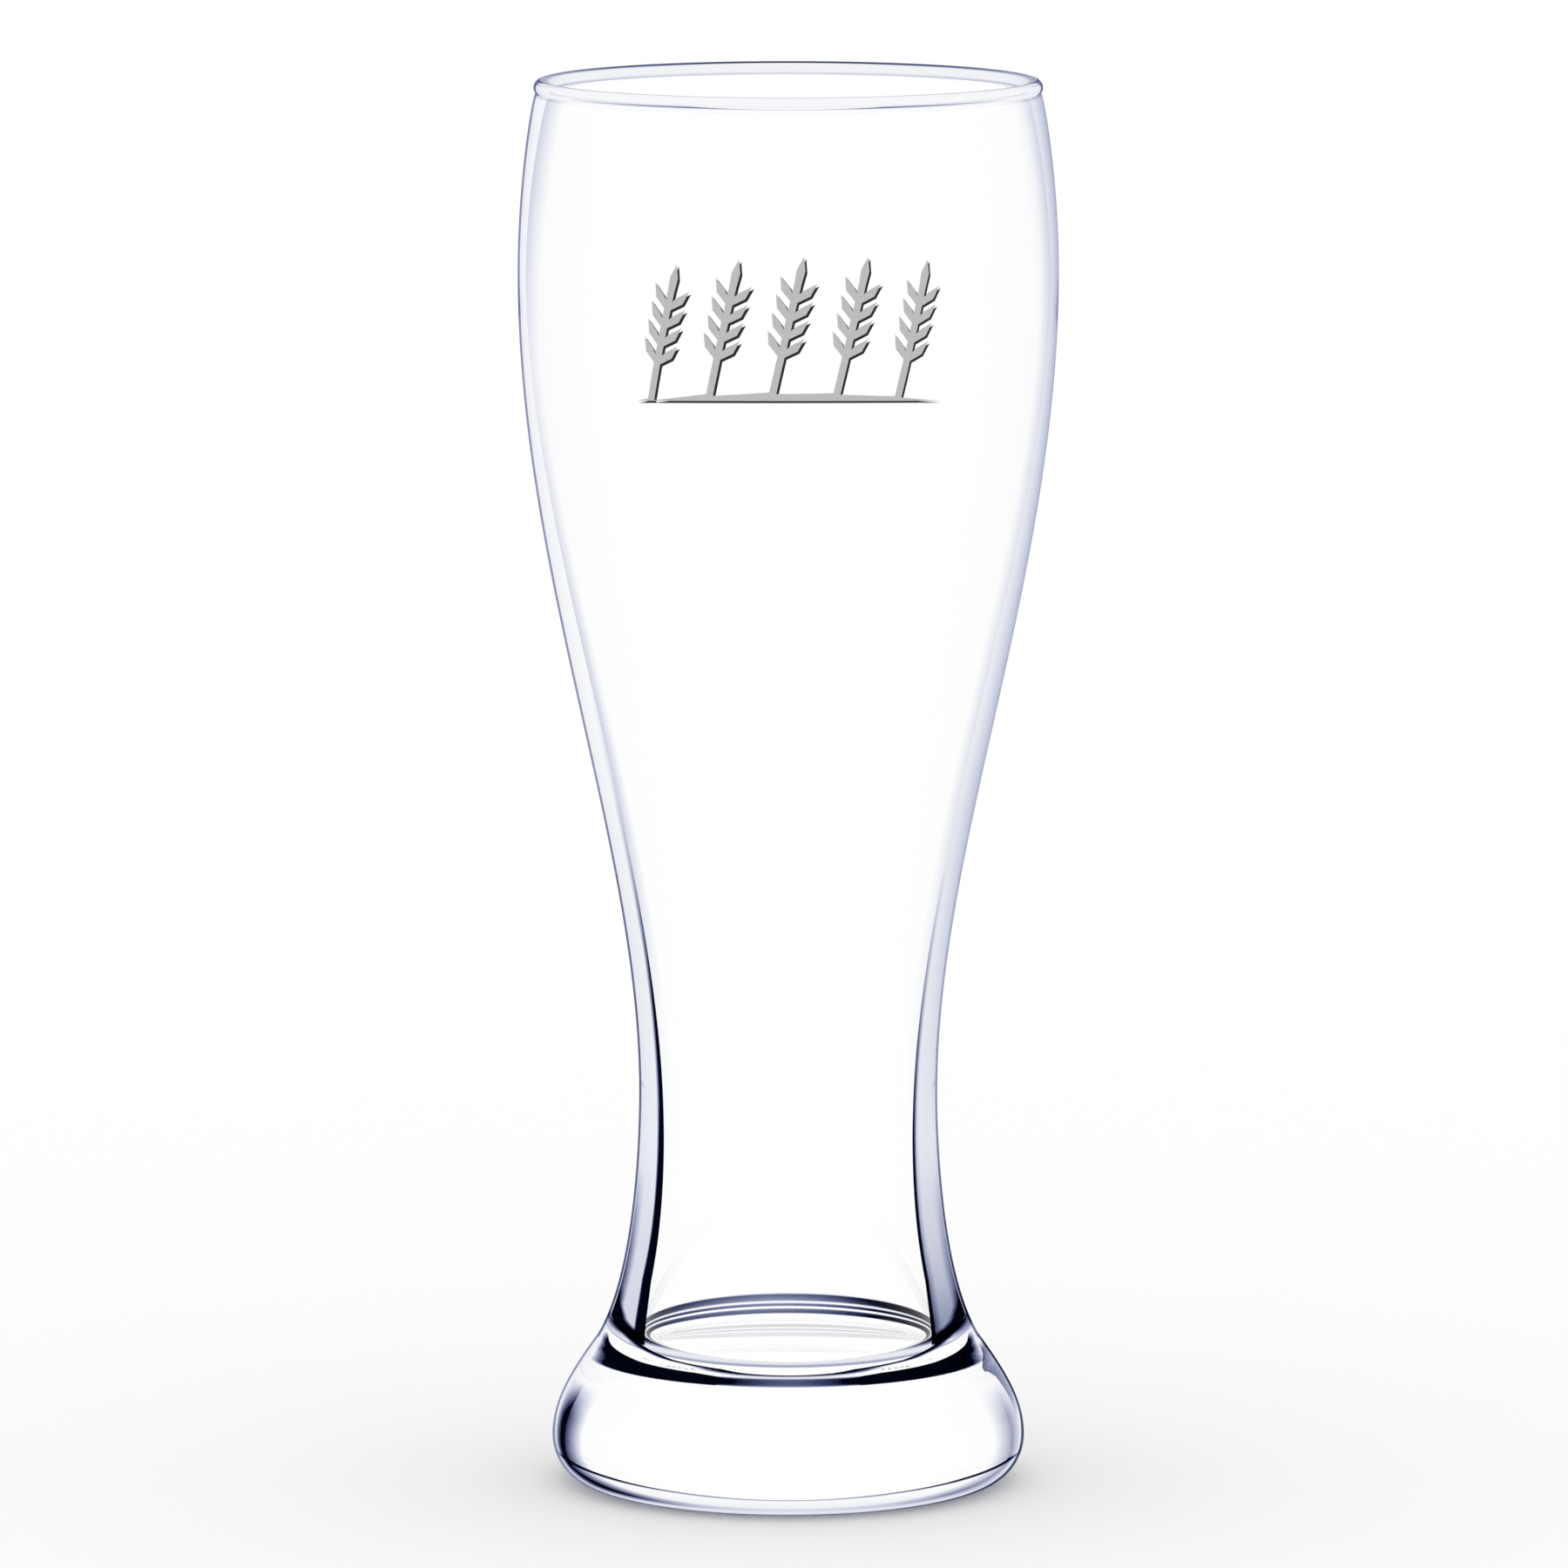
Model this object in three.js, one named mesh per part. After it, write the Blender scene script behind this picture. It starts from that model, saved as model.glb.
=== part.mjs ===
// A footed pilsner glass: a blown bowl with a fire-polished rim, set on a solid pressed foot,
// with a two-colour fired print of barley ears on the front of the bowl.
// Millimetres, +Z up, origin on the table under the middle of the foot, print facing -Y.
import * as THREE from "three";
import { TessellateModifier } from "three/addons/modifiers/TessellateModifier.js";

// Rim: the wall's top edge, melted into a round bead that stands proud on both sides
const HEIGHT = 200;
const RIM_RADIUS = 35.6;
const RIM_WALL = 1.8;
const BEAD_OVERHANG = 0.25;

// Outside of the bowl: widest at the belly, narrowest at the waist, set on the foot at the seam
const BELLY_RADIUS = 38.15;
const BELLY_DROP = 27.5;
const WAIST_RADIUS = 21.2;
const WAIST_HEIGHT = 56;
const SEAM_RADIUS = 27.2;
const SEAM_HEIGHT = 20.6;
const SEAM_SLOPE = 0.58;

// How far each curve of the wall runs on straight from its station before it bends away
const RIM_RUN = 2;
const RIM_SLOPE = 0.37;
const BELLY_RUN_UP = 12;
const BELLY_RUN_DOWN = 43;
const WAIST_RUN_UP = 35.5;
const WAIST_RUN_DOWN = 4;
const SEAM_RUN = 9.9;

// Inside of the bowl: thin at the belly, thick at the waist, with a round-cornered flat floor
const BELLY_WALL = 1.15;
const WAIST_WALL = 3.5;
const CUP_WAIST_DROP = 6.3;
const CUP_BELLY_RUN = 38;
const CUP_WAIST_RUN_UP = 38;
const CUP_WAIST_RUN_DOWN = 18.5;
const FLOOR_HEIGHT = 18.2;
const FLOOR_WALL = 5.9;
const FLOOR_FILLET = 3;
const DISH_DEPTH = 6.4;

// Foot: a solid cone that swells to a bulge above a rounded heel, with a flat-topped hollow below
const FOOT_RADIUS = 33.65;
const BULGE_HEIGHT = 6.5;
const FOOT_SHOULDER_SLOPE = 0.72;
const FOOT_SHOULDER_RUN = 5.5;
const BULGE_RUN = 4.5;
const REST_RADIUS = 27.8;
const PUNT_RADIUS = 26.6;
const PUNT_DEPTH = 4;
const PUNT_CROWN_RUN = 15;
const PUNT_EDGE_RUN = 4.3;
const PUNT_EDGE_RISE = 3;
const SEAM_GAP = 0.05;

// Print: five barley ears leaning in the wind on a curved line of ground, black below, grey above
const PRINT_DROP = 40.6;
const GROUND_HALF_LENGTH = 22.6;
const GROUND_BEND = 150;
const GROUND_WIDTH = 1.1;
const GROUND_STEPS = 6;
const SIDE_EARS = 2;
const EAR_PITCH = 9;
const EAR_LEAN = THREE.MathUtils.degToRad(13);
const STALK_LENGTH = 5.2;
const STALK_HALF_WIDTH = 0.5;
const KERNEL_PAIRS = 4;
const KERNEL_PITCH = 2.6;
const KERNEL_LENGTH = 3.8;
const KERNEL_HALF_WIDTH = 0.6;
const KERNEL_ANGLE = THREE.MathUtils.degToRad(34);
const SHADOW_RIGHT = 0.3;
const SHADOW_DOWN = 0.3;
const FILM = 0.1;
const FILM_GAP = 0.1;
const FILM_FACET = 4;

// Facets
const TURNS = 48;
const CURVE_STEPS = 6;

// The bead is a circle cut by the flat seat where it grows out of the wall
const beadRadius = RIM_WALL / 2 + BEAD_OVERHANG;
const beadRise = Math.sqrt(beadRadius ** 2 - (RIM_WALL / 2) ** 2);
const seatHeight = HEIGHT - beadRadius - beadRise;
const bellyHeight = HEIGHT - BELLY_DROP;
const cupWaistHeight = WAIST_HEIGHT - CUP_WAIST_DROP;
const dishRadius = (SEAM_RADIUS ** 2 + DISH_DEPTH ** 2) / (2 * DISH_DEPTH);

const point = (radius, height) => new THREE.Vector2(radius, height);

// A smooth stretch of wall between two stations, each left along its own direction
function bend(from, leaving, arriving, to, steps) {
  return new THREE.CubicBezierCurve(from, leaving, arriving, to).getPoints(steps);
}

// Joins stretches that share their end points into one outline
function join(...stretches) {
  return stretches.flatMap((stretch, i) => (i === 0 ? stretch : stretch.slice(1)));
}

// Turns a closed outline of radius and height about the axis
function turn(name, outline, material) {
  const geometry = new THREE.LatheGeometry(outline, TURNS);
  geometry.rotateX(Math.PI / 2);
  const mesh = new THREE.Mesh(geometry, material);
  mesh.name = name;
  return mesh;
}

// Outside wall, from the seam up to the rim's seat
function outerWall() {
  const seam = point(SEAM_RADIUS, SEAM_HEIGHT);
  const waist = point(WAIST_RADIUS, WAIST_HEIGHT);
  const belly = point(BELLY_RADIUS, bellyHeight);
  const rim = point(RIM_RADIUS, seatHeight);
  const seamLeaving = point(SEAM_RADIUS - SEAM_SLOPE * SEAM_RUN, SEAM_HEIGHT + SEAM_RUN);
  const waistBelow = point(WAIST_RADIUS, WAIST_HEIGHT - WAIST_RUN_DOWN);
  const waistAbove = point(WAIST_RADIUS, WAIST_HEIGHT + WAIST_RUN_UP);
  const bellyBelow = point(BELLY_RADIUS, bellyHeight - BELLY_RUN_DOWN);
  const bellyAbove = point(BELLY_RADIUS, bellyHeight + BELLY_RUN_UP);
  const rimArriving = point(RIM_RADIUS + RIM_SLOPE * RIM_RUN, seatHeight - RIM_RUN);
  return join(
    bend(seam, seamLeaving, waistBelow, waist, CURVE_STEPS),
    bend(waist, waistAbove, bellyBelow, belly, 2 * CURVE_STEPS),
    bend(belly, bellyAbove, rimArriving, rim, CURVE_STEPS),
  );
}

// Inside wall, from the rim's seat down to the middle of the floor
function innerWall() {
  const rimInside = RIM_RADIUS - RIM_WALL;
  const bellyInside = BELLY_RADIUS - BELLY_WALL;
  const waistInside = WAIST_RADIUS - WAIST_WALL;
  const floorInside = SEAM_RADIUS - FLOOR_WALL;
  const cornerHeight = FLOOR_HEIGHT + FLOOR_FILLET;
  const rim = point(rimInside, seatHeight);
  const belly = point(bellyInside, bellyHeight);
  const waist = point(waistInside, cupWaistHeight);
  const corner = point(floorInside, cornerHeight);
  const rimLeaving = point(rimInside + RIM_SLOPE * RIM_RUN, seatHeight - RIM_RUN);
  const bellyAbove = point(bellyInside, bellyHeight + BELLY_RUN_UP);
  const bellyBelow = point(bellyInside, bellyHeight - CUP_BELLY_RUN);
  const waistAbove = point(waistInside, cupWaistHeight + CUP_WAIST_RUN_UP);
  const waistBelow = point(waistInside, cupWaistHeight - CUP_WAIST_RUN_DOWN);
  const cornerArriving = point(floorInside, cornerHeight + FLOOR_FILLET);
  const filletCentre = point(floorInside - FLOOR_FILLET, cornerHeight);
  const fillet = new THREE.EllipseCurve(
    filletCentre.x, filletCentre.y, FLOOR_FILLET, FLOOR_FILLET, 0, -Math.PI / 2, true,
  );
  return join(
    bend(rim, rimLeaving, bellyAbove, belly, CURVE_STEPS),
    bend(belly, bellyBelow, waistAbove, waist, 2 * CURVE_STEPS),
    bend(waist, waistBelow, cornerArriving, corner, CURVE_STEPS),
    fillet.getPoints(CURVE_STEPS / 2),
    [point(filletCentre.x, FLOOR_HEIGHT), point(0, FLOOR_HEIGHT)],
  );
}

// The shallow dish between bowl and foot, from the axis out to the seam
function dish(drop) {
  const half = Math.asin(SEAM_RADIUS / dishRadius);
  const bottom = SEAM_HEIGHT - DISH_DEPTH - drop;
  return Array.from({ length: CURVE_STEPS + 1 }, (_, i) => {
    const angle = (half * i) / CURVE_STEPS;
    return point(dishRadius * Math.sin(angle), bottom + dishRadius * (1 - Math.cos(angle)));
  });
}

function bowl(material) {
  return turn("bowl", [...join(dish(0), outerWall()), ...innerWall()], material);
}

function rimBead(material) {
  const middle = point(RIM_RADIUS - RIM_WALL / 2, HEIGHT - beadRadius);
  const start = Math.asin(-beadRise / beadRadius);
  const round = new THREE.EllipseCurve(
    middle.x, middle.y, beadRadius, beadRadius, start, Math.PI - start, false,
  );
  const outline = round.getPoints(2 * CURVE_STEPS);
  return turn("rim_bead", [...outline, outline[0].clone()], material);
}

function foot(material) {
  const bulge = point(FOOT_RADIUS, BULGE_HEIGHT);
  const lipHeight = SEAM_HEIGHT - SEAM_GAP;
  const lip = point(SEAM_RADIUS, lipHeight);
  const bulgeAbove = point(FOOT_RADIUS, BULGE_HEIGHT + BULGE_RUN);
  const lipArriving = point(
    SEAM_RADIUS + FOOT_SHOULDER_SLOPE * FOOT_SHOULDER_RUN, lipHeight - FOOT_SHOULDER_RUN,
  );
  const heelWidth = FOOT_RADIUS - REST_RADIUS;
  const heel = new THREE.EllipseCurve(
    REST_RADIUS, BULGE_HEIGHT, heelWidth, BULGE_HEIGHT, -Math.PI / 2, 0, false,
  );
  const puntCrown = point(PUNT_CROWN_RUN, PUNT_DEPTH);
  const puntEdge = point(PUNT_RADIUS - PUNT_EDGE_RUN, PUNT_EDGE_RISE);
  const underside = bend(
    point(0, PUNT_DEPTH), puntCrown, puntEdge, point(PUNT_RADIUS, 0), CURVE_STEPS,
  );
  const outside = join(
    heel.getPoints(CURVE_STEPS),
    bend(bulge, bulgeAbove, lipArriving, lip, CURVE_STEPS),
    dish(SEAM_GAP).reverse(),
  );
  return turn("foot", [...underside, ...outside], material);
}

// The edge of half an ear from its root to its top: slim kernels that lean out of the stalk
function kernelEdge() {
  const edge = [[STALK_HALF_WIDTH, 0]];
  const axis = point(Math.sin(KERNEL_ANGLE), Math.cos(KERNEL_ANGLE));
  for (let i = 0; i < KERNEL_PAIRS; i += 1) {
    const start = STALK_LENGTH + i * KERNEL_PITCH;
    const kernel = (along, across) => [
      STALK_HALF_WIDTH + along * axis.x + across * axis.y,
      start + along * axis.y - across * axis.x,
    ];
    edge.push(kernel(0, 0));
    edge.push(kernel(KERNEL_LENGTH / 2, KERNEL_HALF_WIDTH));
    edge.push(kernel(KERNEL_LENGTH, 0));
    edge.push(kernel(KERNEL_LENGTH / 2, -KERNEL_HALF_WIDTH));
    edge.push([STALK_HALF_WIDTH, start + 2 * KERNEL_HALF_WIDTH]);
  }
  const top = STALK_LENGTH + KERNEL_PAIRS * KERNEL_PITCH;
  edge.push([STALK_HALF_WIDTH, top]);
  edge.push([KERNEL_HALF_WIDTH, top + KERNEL_LENGTH / 2]);
  return edge;
}

// Height of the ground at a place along it
const ground = (along) => -(along ** 2) / (2 * GROUND_BEND);

// One closed line round the whole row: the ears from left to right, then back under the ground
function rowOutline() {
  const end = GROUND_HALF_LENGTH;
  const earLength = STALK_LENGTH + KERNEL_PAIRS * KERNEL_PITCH + KERNEL_LENGTH;
  const [side, up] = [Math.sin(EAR_LEAN), Math.cos(EAR_LEAN)];
  const line = [point(-end, ground(end))];
  for (let i = -SIDE_EARS; i <= SIDE_EARS; i += 1) {
    const root = i * EAR_PITCH - (earLength * side) / 2;
    const place = (across, along) => point(
      root + across * up + along * side, ground(root) + along * up - across * side,
    );
    const edge = kernelEdge();
    line.push(...edge.map(([across, along]) => place(-across, along)));
    line.push(place(0, earLength));
    line.push(...edge.reverse().map(([across, along]) => place(across, along)));
  }
  line.push(point(end, ground(end)));
  for (let i = GROUND_STEPS - 1; i > -GROUND_STEPS; i -= 1) {
    const share = i / GROUND_STEPS;
    line.push(point(end * share, ground(end * share) - GROUND_WIDTH * (1 - share ** 2)));
  }
  return line;
}

// Radius of the bowl's outside at a height
function wallRadius(wall, height) {
  const above = wall.findIndex((station) => station.y >= height);
  const [low, high] = [wall[above - 1], wall[above]];
  return THREE.MathUtils.mapLinear(height, low.y, high.y, low.x, high.x);
}

// A film of ink in the row's outline, wrapped round the front of the bowl
function inkFilm(name, right, down, lift, material) {
  const shape = new THREE.Shape(rowOutline());
  const flat = new THREE.ExtrudeGeometry(shape, { depth: FILM, bevelEnabled: false });
  const geometry = new TessellateModifier(FILM_FACET, 10).modify(flat);
  const wall = outerWall();
  const place = geometry.attributes.position;
  for (let i = 0; i < place.count; i += 1) {
    const height = HEIGHT - PRINT_DROP - down + place.getY(i);
    const angle = (right + place.getX(i)) / BELLY_RADIUS;
    const radius = wallRadius(wall, height) + lift + place.getZ(i);
    place.setXYZ(i, radius * Math.sin(angle), -radius * Math.cos(angle), height);
  }
  const mesh = new THREE.Mesh(geometry, material);
  mesh.name = name;
  return mesh;
}

const clearGlass = new THREE.MeshStandardMaterial({
  color: "#dde0ec", roughness: 0.02, metalness: 0, transparent: true, opacity: 0.35,
});
const greyInk = new THREE.MeshStandardMaterial({ color: "#bdbdbd", roughness: 0.45, metalness: 0 });
const blackInk = new THREE.MeshStandardMaterial({ color: "#151515", roughness: 0.45, metalness: 0 });

const glass = new THREE.Group();
glass.add(foot(clearGlass));
glass.add(bowl(clearGlass));
glass.add(rimBead(clearGlass));
glass.add(inkFilm("print_shadow", SHADOW_RIGHT, SHADOW_DOWN, FILM_GAP, blackInk));
glass.add(inkFilm("print_face", 0, 0, 2 * FILM_GAP + FILM, greyInk));

export default glass;
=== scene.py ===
import math

import bmesh
import bpy
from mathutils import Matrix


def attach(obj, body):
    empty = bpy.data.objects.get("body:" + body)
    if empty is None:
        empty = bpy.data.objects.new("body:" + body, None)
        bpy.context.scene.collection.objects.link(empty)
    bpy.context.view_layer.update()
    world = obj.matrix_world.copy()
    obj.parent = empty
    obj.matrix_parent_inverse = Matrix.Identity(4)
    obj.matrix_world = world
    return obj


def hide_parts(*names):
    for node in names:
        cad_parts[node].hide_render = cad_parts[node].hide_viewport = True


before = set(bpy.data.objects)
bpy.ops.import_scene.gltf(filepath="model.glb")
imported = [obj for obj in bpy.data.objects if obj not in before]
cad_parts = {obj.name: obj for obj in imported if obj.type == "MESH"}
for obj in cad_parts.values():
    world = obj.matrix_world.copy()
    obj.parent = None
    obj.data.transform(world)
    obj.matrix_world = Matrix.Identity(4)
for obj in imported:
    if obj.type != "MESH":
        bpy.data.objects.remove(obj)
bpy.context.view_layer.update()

# The glass: bowl, foot and rim bead are one body of clear soda-lime glass. The bowl is blown into a
# mould and set hot on a solid pressed foot, and its cut edge is melted round in a flame. Heights and
# radii are those of the CAD solids, in millimetres, with finer steps so that light bends smoothly.
MM = 0.001
TURNS = 288
IOR = 1.52

HEIGHT = 200
RIM_RADIUS = 35.6
RIM_WALL = 1.8
RIM_RUN = 2
RIM_SLOPE = 0.37
BEAD_RADIUS = 1.15
BEAD_RISE = math.sqrt(BEAD_RADIUS ** 2 - (RIM_WALL / 2) ** 2)
BEAD_STEPS = 48
SEAT_HEIGHT = HEIGHT - BEAD_RADIUS - BEAD_RISE

BELLY_RADIUS = 38.15
BELLY_WALL = 1.15
BELLY_HEIGHT = 172.5
BELLY_RUN_UP = 12
BELLY_RUN_DOWN = 43
WAIST_RADIUS = 21.2
WAIST_WALL = 3.5
WAIST_HEIGHT = 56
WAIST_RUN_UP = 35.5
WAIST_RUN_DOWN = 4
SEAM_RADIUS = 27.2
SEAM_HEIGHT = 20.6
SEAM_RUN = 9.9
SEAM_SLOPE = 0.58

CUP_BELLY_RUN = 38
CUP_WAIST_HEIGHT = 49.7
CUP_WAIST_RUN_UP = 38
CUP_WAIST_RUN_DOWN = 18.5
FLOOR_HEIGHT = 18.2
FLOOR_CORNER = 21.3
FLOOR_FILLET = 3
FLOOR_STEPS = 30
CORNER_HEIGHT = FLOOR_HEIGHT + FLOOR_FILLET

FOOT_RADIUS = 33.65
BULGE_HEIGHT = 6.5
BULGE_RUN = 4.5
SHOULDER_RUN = 5.5
SHOULDER_SLOPE = 0.72
REST_RADIUS = 27.8
PUNT_RADIUS = 26.6
PUNT_DEPTH = 4
PUNT_CROWN_RUN = 15
PUNT_EDGE_RUN = 4.3
PUNT_EDGE_RISE = 3


# A smooth stretch of the outline between two stations, left and reached along its own directions
def bend(start, leaving, arriving, end, steps):
    points = []
    for i in range(steps + 1):
        t = i / steps
        weights = ((1 - t) ** 3, 3 * t * (1 - t) ** 2, 3 * t * t * (1 - t), t ** 3)
        stations = (start, leaving, arriving, end)
        points.append(tuple(sum(w * s[k] for w, s in zip(weights, stations)) for k in (0, 1)))
    return points


# A stretch of an ellipse about a centre, between two angles in degrees
def sweep(centre, across, up, first, last, steps):
    angles = [math.radians(first + (last - first) * i / steps) for i in range(steps + 1)]
    return [(centre[0] + across * math.cos(a), centre[1] + up * math.sin(a)) for a in angles]


# The foot, from the middle of the hollow under it, over the ring that it rests on, up to the seam
punt = bend((0, PUNT_DEPTH), (PUNT_CROWN_RUN, PUNT_DEPTH),
            (PUNT_RADIUS - PUNT_EDGE_RUN, PUNT_EDGE_RISE), (PUNT_RADIUS, 0), steps=28)
heel = sweep((REST_RADIUS, BULGE_HEIGHT), FOOT_RADIUS - REST_RADIUS, BULGE_HEIGHT, -90, 0, steps=40)
shoulder = bend((FOOT_RADIUS, BULGE_HEIGHT), (FOOT_RADIUS, BULGE_HEIGHT + BULGE_RUN),
                (SEAM_RADIUS + SHOULDER_SLOPE * SHOULDER_RUN, SEAM_HEIGHT - SHOULDER_RUN),
                (SEAM_RADIUS, SEAM_HEIGHT), steps=90)

# The outside of the bowl, from the seam up to the rim
outer_wall = [
    *bend((SEAM_RADIUS, SEAM_HEIGHT), (SEAM_RADIUS - SEAM_SLOPE * SEAM_RUN, SEAM_HEIGHT + SEAM_RUN),
          (WAIST_RADIUS, WAIST_HEIGHT - WAIST_RUN_DOWN), (WAIST_RADIUS, WAIST_HEIGHT), steps=80),
    *bend((WAIST_RADIUS, WAIST_HEIGHT), (WAIST_RADIUS, WAIST_HEIGHT + WAIST_RUN_UP),
          (BELLY_RADIUS, BELLY_HEIGHT - BELLY_RUN_DOWN), (BELLY_RADIUS, BELLY_HEIGHT), steps=100)[1:],
    *bend((BELLY_RADIUS, BELLY_HEIGHT), (BELLY_RADIUS, BELLY_HEIGHT + BELLY_RUN_UP),
          (RIM_RADIUS + RIM_SLOPE * RIM_RUN, SEAT_HEIGHT - RIM_RUN), (RIM_RADIUS, SEAT_HEIGHT),
          steps=20)[1:],
]

# The bead, from the outside of the wall over its top to the inside, and the angle of each of its points
bead_dip = math.degrees(math.asin(BEAD_RISE / BEAD_RADIUS))
bead_angles = [-bead_dip + (180 + 2 * bead_dip) * i / BEAD_STEPS for i in range(BEAD_STEPS + 1)]
bead = sweep((RIM_RADIUS - RIM_WALL / 2, HEIGHT - BEAD_RADIUS), BEAD_RADIUS, BEAD_RADIUS,
             -bead_dip, 180 + bead_dip, BEAD_STEPS)

# The inside of the cup, from the rim down to the middle of its floor
rim_inside = RIM_RADIUS - RIM_WALL
belly_inside = BELLY_RADIUS - BELLY_WALL
waist_inside = WAIST_RADIUS - WAIST_WALL
floor_edge = FLOOR_CORNER - FLOOR_FILLET
cup_wall = [
    *bend((rim_inside, SEAT_HEIGHT), (rim_inside + RIM_SLOPE * RIM_RUN, SEAT_HEIGHT - RIM_RUN),
          (belly_inside, BELLY_HEIGHT + BELLY_RUN_UP), (belly_inside, BELLY_HEIGHT), steps=20),
    *bend((belly_inside, BELLY_HEIGHT), (belly_inside, BELLY_HEIGHT - CUP_BELLY_RUN),
          (waist_inside, CUP_WAIST_HEIGHT + CUP_WAIST_RUN_UP), (waist_inside, CUP_WAIST_HEIGHT),
          steps=100)[1:],
    *bend((waist_inside, CUP_WAIST_HEIGHT), (waist_inside, CUP_WAIST_HEIGHT - CUP_WAIST_RUN_DOWN),
          (FLOOR_CORNER, CORNER_HEIGHT + FLOOR_FILLET), (FLOOR_CORNER, CORNER_HEIGHT), steps=80)[1:],
]
cup_corner = sweep((floor_edge, CORNER_HEIGHT), FLOOR_FILLET, FLOOR_FILLET, 0, -90, steps=36)
cup_floor = [(floor_edge * (1 - i / FLOOR_STEPS), FLOOR_HEIGHT) for i in range(FLOOR_STEPS + 1)]


# The value at a place, a height or an angle, from the stations on both sides of it
def along(place, *stations):
    if place <= stations[0][0]:
        return stations[0][1]
    for (p0, v0), (p1, v1) in zip(stations, stations[1:]):
        if place <= p1:
            return v0 + (v1 - v0) * (place - p0) / (p1 - p0)
    return stations[-1][1]


# The radius of a turned outline at a height, its points given upward
def radius_at(points, height):
    above = next(i for i, (_, z) in enumerate(points) if i > 0 and z >= height)
    return along(height, *((z, r) for r, z in points[above - 1:above + 1]))


# How edge-on a round wall is seen at a distance in from its outline: 0 face-on, 1 edge-on
def edge_on(inset, radius):
    return 1 - math.sqrt(1 - (1 - inset / radius) ** 2)


# A dark mark painted on the wall between two such angles, painted shade in place of the dark edges that
# clear glass shows in a white room: darkest at the first angle and gone at the last. The bias paints it
# deeper on the left of the print than on the right, or the other way below zero.
def mark(first, last, depth, bias=0):
    return first, last - first, depth, bias


NO_MARK = mark(0, 1, 0)

# An angle far past edge-on, for a mark that hardly fades before the outline, and the two full biases
BEYOND = 4
LEFT_ONLY = 1
RIGHT_ONLY = -1

# The heights between which the painted marks change: the painted navy ring lies on both sides of the seam,
# the painted arc of the floor and the painted dark wedge begin in it and end higher up the bowl
RING_START = 17
RING_END = 22.2
ARC_END = 25
WEDGE_END = 50


# The navy ring round the seam, painted shade that is thin in front and wider to both sides
def navy_ring(height):
    first = along(height, (19.4, 0.14), (19.67, 0.175), (20, 0.36), (20.5, 0.5), (20.6, 0.52),
                  (20.95, 0.6), (21.4, 0.66), (22.2, 0.72))
    last = along(height, (19, 0.74), (20.6, 0.77), (22.2, 0.82))
    depth = along(height, (18.35, 0), (18.5, 4), (20, 4), (20.6, 2.4), (21.4, 1.4), (22.1, 0))
    return mark(first, last, depth)


# Where the near edge of the cup's floor shows through the thick glass: a painted arc of shade that climbs
# from the front to both sides
def arc_start(height):
    return along(height, (19.7, 0.07), (20.07, 0.119), (20.6, 0.16), (21, 0.23), (22.1, 0.37),
                 (23.1, 0.45), (23.6, 0.57), (24.3, 0.85))


# The thin dark line of painted shade along that arc
def floor_arc(height):
    start = arc_start(height)
    width = along(height, (20.6, 0.06), (22.1, 0.09), (23.6, 0.16))
    depth = along(height, (19.65, 0), (19.75, 1.3), (20.1, 1.5), (20.6, 1.9), (20.9, 1.843), (22, 2),
                  (23.4, 2.2), (24.3, 0))
    return mark(start, start + width, depth)


# Foot, all in painted shade drawn by how edge-on the wall is seen: a thin outline with a dark contour and
# a softer lavender shade inside it, a lavender band and a line on the heel, a painted shade along the
# right of the shoulder and, at its top, the navy ring with a lighter middle
def foot_marks(radius, height):
    outline_width = along(height, (6, 0.45), (12, 0.25))
    # Painted shade along the right of the shoulder, which fades out below the seam
    right_shade_start = along(height, (13, 0.9), (16, 1.2), (17, 1.67), (17.1, 2), (17.7, 2), (19, 1),
                         (19.6, 0.8))
    right_shade_depth = along(height, (10, 0), (13, 0.2), (17, 0.3), (19.4, 0.35), (20.2, 0))
    marks = {
        "outline": mark(edge_on(outline_width, radius), BEYOND, depth=0.55, bias=-0.3),
        "veil": mark(edge_on(right_shade_start, radius), 1, right_shade_depth, RIGHT_ONLY),
    }
    if height > RING_START:
        middle_depth = along(height, (18.35, 0), (18.5, 1.45), (19.3, 1.45), (19.45, 0))
        marks["band"] = navy_ring(height)
        marks["line"] = mark(0.17, 0.01, middle_depth)
        marks["glow"] = floor_arc(height)
        return marks
    heel_start = along(height, (2.7, 0.2), (2.85, 0.224), (3.4, 0.27), (4.3, 0.467), (4.95, 0.69))
    heel_width = along(height, (2.85, 0.05), (3.4, 0.09), (4.3, 0.2), (4.95, 0.26))
    heel_depth = along(height, (2.6, 0), (2.8, 0.3), (3.4, 0.7), (4.3, 2.2), (4.8, 2.2), (5.1, 0))
    contour = along(height, (1.5, 2.8), (4, 1.4), (7, 1.8), (11, 2), (13.5, 2.1))
    contour_start = edge_on(contour, radius)
    contour_depth = along(height, (1, 0), (2, 1), (11, 1), (15.5, 0))
    marks["band"] = mark(0, BEYOND, along(height, (0, 0.18), (1, 0.1), (3.6, 0)))
    marks["thread"] = mark(heel_start, heel_start + heel_width, heel_depth)
    marks["line"] = mark(contour_start, edge_on(0.5, radius), contour_depth, bias=0.62)
    marks["glow"] = mark(contour_start, edge_on(contour + 2.4, radius), 0.59 * contour_depth, bias=0.44)
    return marks
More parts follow.
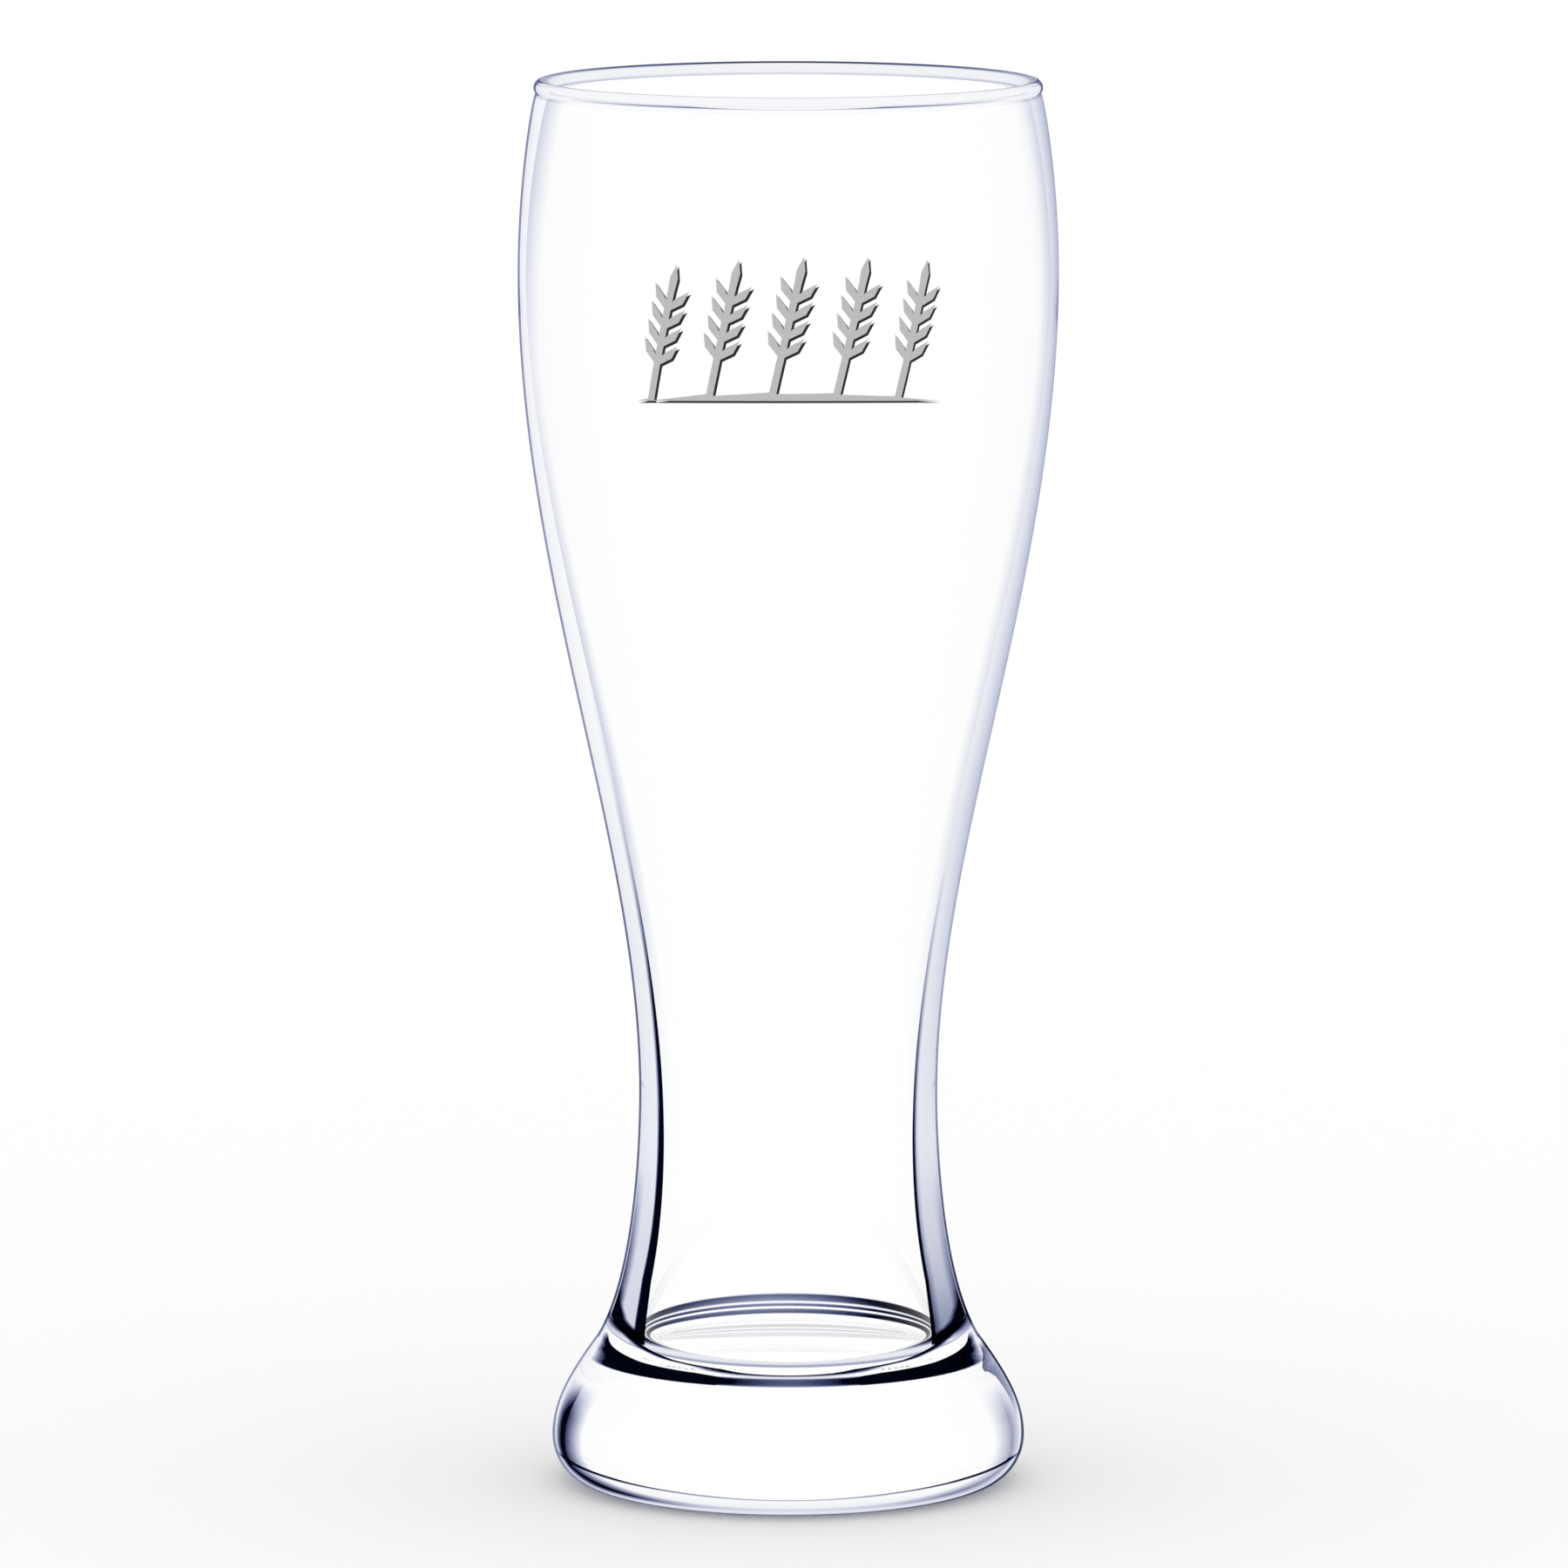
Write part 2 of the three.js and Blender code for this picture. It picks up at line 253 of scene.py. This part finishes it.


# Bowl, all in painted shade drawn by how edge-on the wall is seen: a thin outline, a lavender band as wide
# as the wall is thick, and where the inside of the thick waist shows, a black line on the left and a thin
# thread of shade on both sides, which thin out upward. Above the seam a dark wedge fills the band; higher
# up a softer lavender shade fades inward from it and a darker shade lies on its right. Below the waist the
# painted lines show the inside of the thick wall nearer to the axis than it really is.
def bowl_marks(radius, height):
    inside = radius_at(cup_wall[::-1], max(height, CORNER_HEIGHT))
    if height < CUP_WAIST_HEIGHT:
        inside = min(inside, along(height, (22.4, 20.3), (25, 20), (28, 19.6), (31, 19.25)))
    wall = radius - inside
    inner_edge = edge_on(wall, radius)
    outline_depth = along(height, (22, 0.55), (60, 0.42), (100, 0.2))
    outline_bias = along(height, (40, 0), (100, LEFT_ONLY))
    line_width = along(height, (22.4, 0.2), (23.3, 1.6), (38, 1.15), (56, 0.9), (77, 0.6))
    line_depth = along(height, (22.2, 0), (22.5, 2.6), (30, 2.6), (45, 2), (56, 1), (70, 0.55),
                       (77, 0.35), (101, 0.08), (117, 0))
    thread_width = 0.55
    thread_depth = along(height, (22.2, 0), (22.5, 2), (40, 1.4), (56, 0.9), (70, 0.45), (90, 0))
    marks = {
        "outline": mark(edge_on(0.3, radius), BEYOND, outline_depth, outline_bias),
        "line": mark(inner_edge, edge_on(wall - line_width, radius), line_depth, LEFT_ONLY),
        "thread": mark(inner_edge, edge_on(wall - thread_width, radius), thread_depth),
    }
    if height < RING_END:
        marks["band"] = navy_ring(height)
    else:
        band_depth = along(height, (22.2, 0), (23, 0.34), (25, 0.32), (30, 0.23), (36, 0.18),
                           (49, 0.09), (62, 0.07), (75, 0.055), (95, 0.025), (110, 0))
        band_bias = along(height, (25, -0.5), (30, -0.35), (36, -0.2), (62, -0.1), (75, 0))
        marks["band"] = mark(inner_edge, BEYOND, band_depth, band_bias)
    if height < ARC_END:
        marks["glow"] = floor_arc(height)
    else:
        glow_reach = along(height, (160, 1.4), (185, 2.6))
        glow_depth = along(height, (40, 0), (70, 0.03), (101, 0.13), (117, 0.12), (136, 0.085),
                           (160, 0.05), (185, 0.13))
        glow_bias = along(height, (136, 0.62), (160, 0.3))
        marks["glow"] = mark(inner_edge, edge_on(wall + glow_reach, radius), glow_depth, glow_bias)
    if height < WEDGE_END:
        wedge_start = min(edge_on(0.4, radius), arc_start(height))
        wedge_inset = along(height, (22.4, 6), (23.1, 5.4), (24, 4.3), (24.8, 2.8), (26.4, 1.6),
                            (40, 1.4))
        wedge_depth = along(height, (22.2, 0), (22.5, 3.5), (25, 3), (26.5, 1.2), (28.5, 0.6),
                            (40, 0.25), (46, 0))
        marks["veil"] = mark(wedge_start, edge_on(wedge_inset, radius), wedge_depth, bias=0.3)
    else:
        veil_reach = 1.4
        veil_depth = along(height, (50, 0), (100, 0.15))
        marks["veil"] = mark(1, edge_on(wall + veil_reach, radius), veil_depth, RIGHT_ONLY)
    return marks


# Rim, all in painted shade drawn by how edge-on the bead is seen: an outline on the outside of the bead, a
# crisp line along the top of its far side, a faint one along its near side, a soft line below it inside
# the cup, and a faint lavender tone all over
def bead_marks(angle):
    bead_top = 76
    top_depth = along(angle, (78, 0), (84, 1.45), (104, 1.45), (118, 1), (134, 0))
    near_depth = along(angle, (-24, 0), (-18, 0.7), (-13, 0.5), (-6, 0))
    neck_depth = along(angle, (190, 0), (215, 0.4))
    tone_depth = along(angle, (80, 0.035), (100, 0.06))
    outside = mark(edge_on(0.35, RIM_RADIUS), BEYOND, depth=0.5)
    return {
        "outline": outside if angle <= bead_top else mark(0.35, 0.99, top_depth),
        "line": mark(0.1, 0.55, near_depth),
        "band": mark(1, -0.5, neck_depth),
        "glow": mark(0, BEYOND, tone_depth),
    }


# From this angle on, a wall seen from within the glass mirrors all light
MIRRORS_ALL = 1 - math.sqrt(1 - 1 / IOR ** 2)


# Corner of the cup's floor: three dark rings of painted shade on its far side, and a soft painted one on
# its near side, which is seen from within the glass
def corner_marks(height):
    low_ring = along(height, (19.2, 0), (19.3, 0.9), (19.9, 0.9), (20, 0))
    middle_ring = along(height, (20.3, 0), (20.4, 1), (20.75, 1), (20.85, 0))
    high_ring = along(height, (21.15, 0), (21.25, 0.8), (22.3, 1), (22.4, 0))
    far_depth = 2.4 * (low_ring + middle_ring + high_ring)
    near_depth = along(height, (18.4, 0), (19, 0.5), (19.6, 0.1), (20.4, 0.1), (21.2, 1.2), (22.2, 0))
    return {
        "band": mark(1, -0.3, far_depth, bias=-0.3),
        "near": mark(MIRRORS_ALL, BEYOND, near_depth),
    }


profile = [
    *((r, z, {}) for r, z in punt),
    *((r, z, foot_marks(r, z)) for r, z in heel + shoulder[1:]),
    *((r, z, bowl_marks(r, z)) for r, z in outer_wall[1:]),
    *((r, z, bead_marks(angle)) for (r, z), angle in zip(bead[1:-1], bead_angles[1:-1])),
    *((r, z, corner_marks(z)) for r, z in cup_wall + cup_corner[1:]),
    *((r, z, {}) for r, z in cup_floor[1:]),
]
# The kinds of painted shade on the outer faces, where glow is a soft lavender shade and not light, and
# near, painted on faces seen from within the glass
OUTER_MARKS = ("outline", "band", "veil", "line", "thread", "glow")
MARKS = (*OUTER_MARKS, "near")


# Turns the profile into one closed skin, and keeps each point's painted shade marks on the mesh, their
# depth changed round the glass by their bias
def spin_glass(name):
    skin = bmesh.new()
    layers = {kind: skin.verts.layers.float_vector.new(kind) for kind in MARKS}
    rings = []
    for radius, height, marks in profile:
        count = TURNS if radius > 0 else 1
        ring = []
        for k in range(count):
            a = 2 * math.pi * k / TURNS
            vert = skin.verts.new((radius * MM * math.cos(a), radius * MM * math.sin(a), height * MM))
            for kind, layer in layers.items():
                first, reach, depth, bias = marks.get(kind, NO_MARK)
                vert[layer] = (first, reach, depth * (1 - bias * math.cos(a)))
            ring.append(vert)
        rings.append(ring)
    for low, high in zip(rings, rings[1:]):
        for k in range(TURNS):
            corners = [low[k % len(low)], low[(k + 1) % len(low)]]
            corners += [high[(k + 1) % len(high)], high[k % len(high)]]
            skin.faces.new(list(dict.fromkeys(corners)))
    bmesh.ops.recalc_face_normals(skin, faces=skin.faces)
    mesh = bpy.data.meshes.new(name)
    skin.to_mesh(mesh)
    skin.free()
    mesh.shade_smooth()
    piece = bpy.data.objects.new(name, mesh)
    bpy.context.collection.objects.link(piece)
    return piece


# sRGB hex to the linear colour that the shaders take
def linear(hex_colour):
    channels = [int(hex_colour[i:i + 2], 16) / 255 for i in (1, 3, 5)]
    return [c / 12.92 if c <= 0.04045 else ((c + 0.055) / 1.055) ** 2.4 for c in channels] + [1]


# Adds a node with its own settings, the values of its sockets and the wires into them
def node(tree, kind, settings=None, values=None, wires=None):
    made = tree.nodes.new(kind)
    for name, setting in (settings or {}).items():
        setattr(made, name, setting)
    for socket, value in (values or {}).items():
        made.inputs[socket].default_value = value
    for socket, source in (wires or {}).items():
        tree.links.new(source, made.inputs[socket])
    return made


# Fire-polished soda-lime glass: smooth and clear face-on. On top of it the marks of each wall are painted
# shade: a coat tint, set by how edge-on the wall is seen, darkens it through lavender and indigo to black
# at their angles, in place of the dark edges that a clear glass shows in a white room. A black specular
# tint keeps its walls from showing faint double images.
clear_glass = bpy.data.materials.new("fire_polished_soda_lime_glass")
clear_glass.use_nodes = True
tree = clear_glass.node_tree
shader = tree.nodes["Principled BSDF"]
shader.inputs["Base Color"].default_value = linear("#ffffff")
shader.inputs["Roughness"].default_value = 0
shader.inputs["IOR"].default_value = IOR
shader.inputs["Transmission Weight"].default_value = 1
shader.inputs["Specular Tint"].default_value = linear("#000000")
shader.inputs["Coat Weight"].default_value = 1
shader.inputs["Coat Roughness"].default_value = 0
shader.inputs["Coat IOR"].default_value = 1

# How dark each painted mark of shade is here: its depth, less as the angle goes on from its first to its
# last
edge = node(tree, "ShaderNodeLayerWeight", values={"Blend": 0.5})
darkness = {}
for kind in MARKS:
    drawn = node(tree, "ShaderNodeAttribute", {"attribute_name": kind})
    parts = node(tree, "ShaderNodeSeparateXYZ", wires={0: drawn.outputs["Vector"]})
    past = node(tree, "ShaderNodeMath", {"operation": "SUBTRACT"},
                wires={0: edge.outputs["Facing"], 1: parts.outputs["X"]})
    share = node(tree, "ShaderNodeMath", {"operation": "DIVIDE"},
                 wires={0: past.outputs[0], 1: parts.outputs["Y"]})
    fading = node(tree, "ShaderNodeMath", {"operation": "SUBTRACT", "use_clamp": True}, {0: 1},
                  {1: share.outputs[0]})
    begun = node(tree, "ShaderNodeMath", {"operation": "GREATER_THAN"}, {1: 0}, {0: share.outputs[0]})
    shown = node(tree, "ShaderNodeMath", {"operation": "MULTIPLY"},
                 wires={0: fading.outputs[0], 1: begun.outputs[0]})
    darkness[kind] = node(tree, "ShaderNodeMath", {"operation": "MULTIPLY"},
                          wires={0: shown.outputs[0], 1: parts.outputs["Z"]})
outside = darkness["outline"]
for kind in OUTER_MARKS[1:]:
    outside = node(tree, "ShaderNodeMath", wires={0: outside.outputs[0], 1: darkness[kind].outputs[0]})

# The soft ring of painted shade is drawn only where light comes straight through the outer wall, one step
# from the eye. Light that runs on between the walls would smear it over the waist in streaks.
PAST_ONE_STEP = 1.5
path = node(tree, "ShaderNodeLightPath")
straight = node(tree, "ShaderNodeMath", {"operation": "LESS_THAN"}, {1: PAST_ONE_STEP},
                {0: path.outputs["Ray Depth"]})
within = node(tree, "ShaderNodeMath", {"operation": "MULTIPLY"},
              wires={0: darkness["near"].outputs[0], 1: straight.outputs[0]})
surface = node(tree, "ShaderNodeNewGeometry")
total = node(tree, "ShaderNodeMix", wires={0: surface.outputs["Backfacing"], 2: outside.outputs[0],
                                           3: within.outputs[0]})

# The coat tints more the flatter it is looked through, which the gamma takes back
# The colours of the painted shade, from white where no mark lies through lavender and indigo to black
tones = node(tree, "ShaderNodeValToRGB", wires={"Fac": total.outputs[0]})
stops = tones.color_ramp.elements
stops[0].color = linear("#ffffff")
stops[1].color = linear("#030515")
for position, colour in ((0.15, "#dadde9"), (0.38, "#a2a7c0"), (0.6, "#6a7090"), (0.8, "#383e60")):
    stop = stops.new(position)
    stop.color = linear(colour)
upright = node(tree, "ShaderNodeMath", {"operation": "SUBTRACT"}, {0: 1}, {1: edge.outputs["Facing"]})
tint = node(tree, "ShaderNodeGamma", wires={"Color": tones.outputs["Color"], "Gamma": upright.outputs[0]})
tree.links.new(tint.outputs["Color"], shader.inputs["Coat Tint"])

glass_body = spin_glass("glass_body")
glass_body.data.materials.append(clear_glass)
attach(glass_body, "root")
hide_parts("bowl", "foot", "rim_bead")

# The print: five barley ears leaning in the wind on a curved line of ground, screen-printed on the
# front of the bowl in two passes of ceramic ink and fired on. The black pass lies under the grey one,
# a little lower and to the right, so that it shows as a thin shadow along each stroke.
PRINT_HEIGHT = HEIGHT - 40.6
GROUND_HALF_LENGTH = 22.6
GROUND_BEND = 150
GROUND_WIDTH = 1.1
GROUND_STEPS = 6
SIDE_EARS = 2
EAR_PITCH = 9
EAR_LEAN = math.radians(13)
STALK_LENGTH = 5.2
STALK_HALF_WIDTH = 0.5
KERNEL_PAIRS = 4
KERNEL_PITCH = 2.6
KERNEL_LENGTH = 3.8
KERNEL_HALF_WIDTH = 0.6
KERNEL_ANGLE = math.radians(34)
SHADOW_OFFSET = 0.3
INK_FILM = 0.04
INK_GAP = 0.02
FACET = 1.2
SIDE_CUTS = 24
CUT_TOLERANCE = 1e-5


# The edge of half an ear from its root to its top: slim kernels that lean out of the stalk
def kernel_edge():
    edge = [(STALK_HALF_WIDTH, 0)]
    out, up = math.sin(KERNEL_ANGLE), math.cos(KERNEL_ANGLE)
    half = KERNEL_LENGTH / 2
    corners = ((0, 0), (half, KERNEL_HALF_WIDTH), (KERNEL_LENGTH, 0), (half, -KERNEL_HALF_WIDTH))
    for i in range(KERNEL_PAIRS):
        start = STALK_LENGTH + i * KERNEL_PITCH
        for far, wide in corners:
            edge.append((STALK_HALF_WIDTH + far * out + wide * up, start + far * up - wide * out))
        edge.append((STALK_HALF_WIDTH, start + 2 * KERNEL_HALF_WIDTH))
    top = STALK_LENGTH + KERNEL_PAIRS * KERNEL_PITCH
    return [*edge, (STALK_HALF_WIDTH, top), (KERNEL_HALF_WIDTH, top + half)]


# Height of the ground at a place along it
def ground(place):
    return -place ** 2 / (2 * GROUND_BEND)


# One closed line round the whole row: the ears from left to right, then back under the ground
def row_outline():
    end = GROUND_HALF_LENGTH
    ear_length = STALK_LENGTH + KERNEL_PAIRS * KERNEL_PITCH + KERNEL_LENGTH
    side, up = math.sin(EAR_LEAN), math.cos(EAR_LEAN)
    right_edge = kernel_edge()
    left_edge = [(-x, y) for x, y in right_edge]
    ear = [*left_edge, (0, ear_length), *right_edge[::-1]]
    drawn = [(-end, ground(end))]
    for i in range(-SIDE_EARS, SIDE_EARS + 1):
        root = i * EAR_PITCH - ear_length * side / 2
        drawn += [(root + x * up + y * side, ground(root) + y * up - x * side) for x, y in ear]
    drawn.append((end, ground(end)))
    for i in range(GROUND_STEPS - 1, -GROUND_STEPS, -1):
        share = i / GROUND_STEPS
        drawn.append((end * share, ground(end * share) - GROUND_WIDTH * (1 - share ** 2)))
    return drawn[::-1]


# A film of ink in the row's outline, cut fine enough to follow the round wall that it lies on
def ink_film(name, right, down, lift):
    film = bmesh.new()
    film.faces.new([film.verts.new((x, y, 0)) for x, y in row_outline()])
    for axis in ((1, 0, 0), (0, 1, 0)):
        for k in range(-SIDE_CUTS, SIDE_CUTS + 1):
            cut = [k * FACET * a for a in axis]
            parts = film.verts[:] + film.edges[:] + film.faces[:]
            bmesh.ops.bisect_plane(film, geom=parts, plane_co=cut, plane_no=axis, dist=CUT_TOLERANCE)
    bmesh.ops.triangulate(film, faces=film.faces)
    top = bmesh.ops.extrude_face_region(film, geom=film.faces[:])
    for vert in (v for v in top["geom"] if isinstance(v, bmesh.types.BMVert)):
        vert.co.z = INK_FILM
    for vert in film.verts:
        height = PRINT_HEIGHT - down + vert.co.y
        angle = (right + vert.co.x) / BELLY_RADIUS
        radius = radius_at(outer_wall, height) + lift + vert.co.z
        vert.co = (radius * MM * math.sin(angle), -radius * MM * math.cos(angle), height * MM)
    bmesh.ops.recalc_face_normals(film, faces=film.faces)
    mesh = bpy.data.meshes.new(name)
    film.to_mesh(mesh)
    film.free()
    piece = bpy.data.objects.new(name, mesh)
    bpy.context.collection.objects.link(piece)
    return piece


# Fired ceramic screen ink: opaque and satin, with the faint grid that the screen's threads leave and
# small uneven patches where the ink ran thinner. The real threads are 0.1 mm apart; they are drawn
# at 0.4 mm so that they show. A wave texture of scale 1 has a band every 2 pi / 20.
INK_IOR = 1.5
PATCH_SIZE = 0.9
THREAD_PITCH = 0.4
THREAD_RELIEF = 0.02
WAVE_BAND = 2 * math.pi / 20


def ceramic_ink(name, full, thin):
    ink = bpy.data.materials.new(name)
    ink.use_nodes = True
    tree = ink.node_tree
    shader = tree.nodes["Principled BSDF"]
    shader.inputs["IOR"].default_value = INK_IOR
    place = node(tree, "ShaderNodeTexCoord")
    patches = node(tree, "ShaderNodeTexNoise", values={"Scale": 1 / (PATCH_SIZE * MM), "Detail": 4},
                   wires={"Vector": place.outputs["Object"]})
    colour = node(tree, "ShaderNodeMix", {"data_type": "RGBA"}, {6: linear(full), 7: linear(thin)},
                  {"Factor": patches.outputs["Fac"]})
    gloss = node(tree, "ShaderNodeMapRange", values={"To Min": 0.35, "To Max": 0.6},
                 wires={"Value": patches.outputs["Fac"]})
    threads = node(tree, "ShaderNodeTexWave", {"bands_direction": "DIAGONAL"},
                   {"Scale": WAVE_BAND / (THREAD_PITCH * MM), "Distortion": 0.5},
                   {"Vector": place.outputs["Object"]})
    relief = node(tree, "ShaderNodeBump", values={"Strength": 0.15, "Distance": THREAD_RELIEF * MM},
                  wires={"Height": threads.outputs["Fac"]})
    tree.links.new(colour.outputs[2], shader.inputs["Base Color"])
    tree.links.new(gloss.outputs["Result"], shader.inputs["Roughness"])
    tree.links.new(relief.outputs["Normal"], shader.inputs["Normal"])
    return ink


print_shadow = ink_film("print_black_pass", SHADOW_OFFSET, SHADOW_OFFSET, INK_GAP)
print_shadow.data.materials.append(ceramic_ink("fired_black_ceramic_ink", "#0b0b0b", "#1a1a1a"))
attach(print_shadow, "root")
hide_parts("print_shadow")

print_face = ink_film("print_grey_pass", 0, 0, 2 * INK_GAP + INK_FILM)
print_face.data.materials.append(ceramic_ink("fired_grey_ceramic_ink", "#c0c0c0", "#bababa"))
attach(print_face, "root")
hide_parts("print_face")

# The studio: a white table under an even white dome, as glass is lit from behind. The table takes the
# glass's shadow, and seen through the glass it is as white as the dome. What the glass mirrors is the
# dimmer room in front of it. The table lies a hair below the foot, so that their faces don't mix.
TABLE_HALF = 6
TABLE_GAP = 0.02 * MM
ROOM = "#d0d3e6"

table_mesh = bpy.data.meshes.new("table_top")
corners = [(-TABLE_HALF, -TABLE_HALF), (TABLE_HALF, -TABLE_HALF), (TABLE_HALF, TABLE_HALF),
           (-TABLE_HALF, TABLE_HALF)]
table_mesh.from_pydata([(x, y, -TABLE_GAP) for x, y in corners], [], [(0, 1, 2, 3)])
table_top = bpy.data.objects.new("table_top", table_mesh)
bpy.context.collection.objects.link(table_top)

# Matt white laminate: no gloss, and to the glass alone it glows as the dome and the room do
white_laminate = bpy.data.materials.new("matt_white_laminate")
white_laminate.use_nodes = True
tree = white_laminate.node_tree
shader = tree.nodes["Principled BSDF"]
shader.inputs["Base Color"].default_value = linear("#ffffff")
shader.inputs["Roughness"].default_value = 1
shader.inputs["Specular IOR Level"].default_value = 0
path = node(tree, "ShaderNodeLightPath")
by_glass = node(tree, "ShaderNodeMath", {"operation": "MAXIMUM"},
                wires={0: path.outputs["Is Glossy Ray"], 1: path.outputs["Is Transmission Ray"]})
seen = node(tree, "ShaderNodeMix", {"data_type": "RGBA"}, {6: linear(ROOM), 7: linear("#ffffff")},
            {"Factor": path.outputs["Is Transmission Ray"]})
glow = node(tree, "ShaderNodeEmission", wires={"Color": seen.outputs[2]})
surface = node(tree, "ShaderNodeMixShader", wires={0: by_glass.outputs["Value"], 1: shader.outputs["BSDF"],
                                                   2: glow.outputs["Emission"]})
tree.links.new(surface.outputs["Shader"], tree.nodes["Material Output"].inputs["Surface"])
table_mesh.materials.append(white_laminate)

dome = bpy.data.worlds.new("white_dome")
bpy.context.scene.world = dome
dome.use_nodes = True
tree = dome.node_tree
path = node(tree, "ShaderNodeLightPath")
mirrored = node(tree, "ShaderNodeMath", {"operation": "SUBTRACT", "use_clamp": True},
                wires={0: path.outputs["Is Glossy Ray"], 1: path.outputs["Is Transmission Ray"]})
sky = node(tree, "ShaderNodeMix", {"data_type": "RGBA"}, {6: linear("#ffffff"), 7: linear(ROOM)},
           {"Factor": mirrored.outputs["Value"]})
tree.links.new(sky.outputs[2], tree.nodes["Background"].inputs["Color"])

# The camera: a long lens 1.7 m away, a little above the rim and tipped down. Light turns many times in
# the thick foot before it leaves it, so it is followed through as many bounces as that needs.
CAMERA_PLACE = (-0.0006, -1.7, 0.32662)
CAMERA_TILT = math.radians(7.595)
LENS = 277.73
SENSOR = 36
FAR_END = 50
BOUNCES = 128

camera_data = bpy.data.cameras.new("camera")
camera_data.lens = LENS
camera_data.sensor_width = SENSOR
camera_data.clip_end = FAR_END
camera = bpy.data.objects.new("camera", camera_data)
camera.location = CAMERA_PLACE
camera.rotation_euler = (math.pi / 2 - CAMERA_TILT, 0, 0)
bpy.context.collection.objects.link(camera)
bpy.context.scene.camera = camera
bpy.context.scene.view_settings.view_transform = "Standard"
bpy.context.scene.cycles.max_bounces = BOUNCES
bpy.context.scene.cycles.glossy_bounces = BOUNCES
bpy.context.scene.cycles.transmission_bounces = BOUNCES
